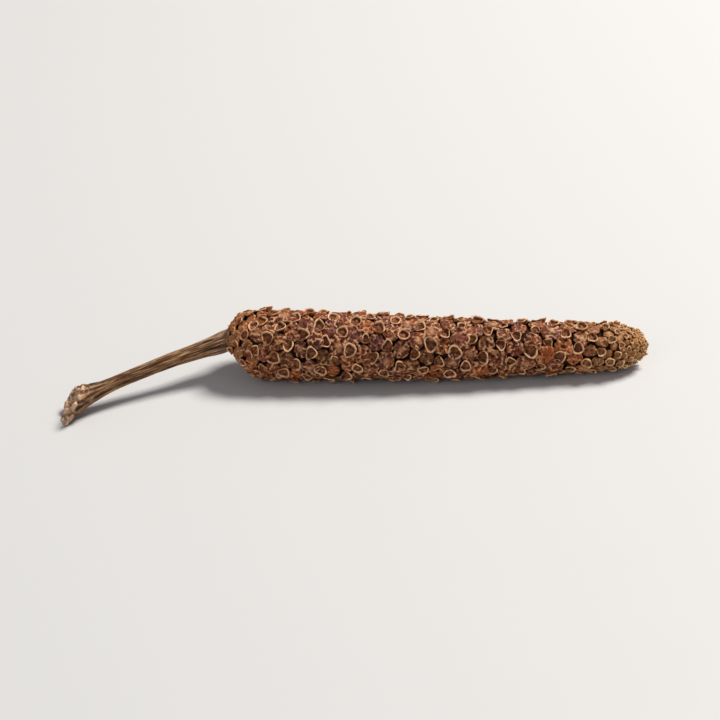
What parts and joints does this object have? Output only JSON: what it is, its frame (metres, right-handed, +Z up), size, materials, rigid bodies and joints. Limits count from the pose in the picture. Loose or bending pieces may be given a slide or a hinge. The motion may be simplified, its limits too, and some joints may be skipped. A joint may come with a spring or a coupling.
{
  "type": "long pepper",
  "caption": "Dried long pepper: a slender fruit spike covered in small round berries and rimmed bracts, on a ribbed stalk with a flared foot.",
  "frame": {"origin": "on the surface that the pepper lies on, under the middle of its bounding box", "axes": "+X along the spike towards its tip, +Z up, and the stalk bends towards -Y"},
  "size_m": [0.0622, 0.0146, 0.0074],
  "materials": {
    "dried_berries": "matte",
    "dried_stalk": "matte"
  },
  "bodies": {
    "root": {"fruit_spike": "dried_berries", "stalk": "dried_stalk"}
  },
  "joints": []
}
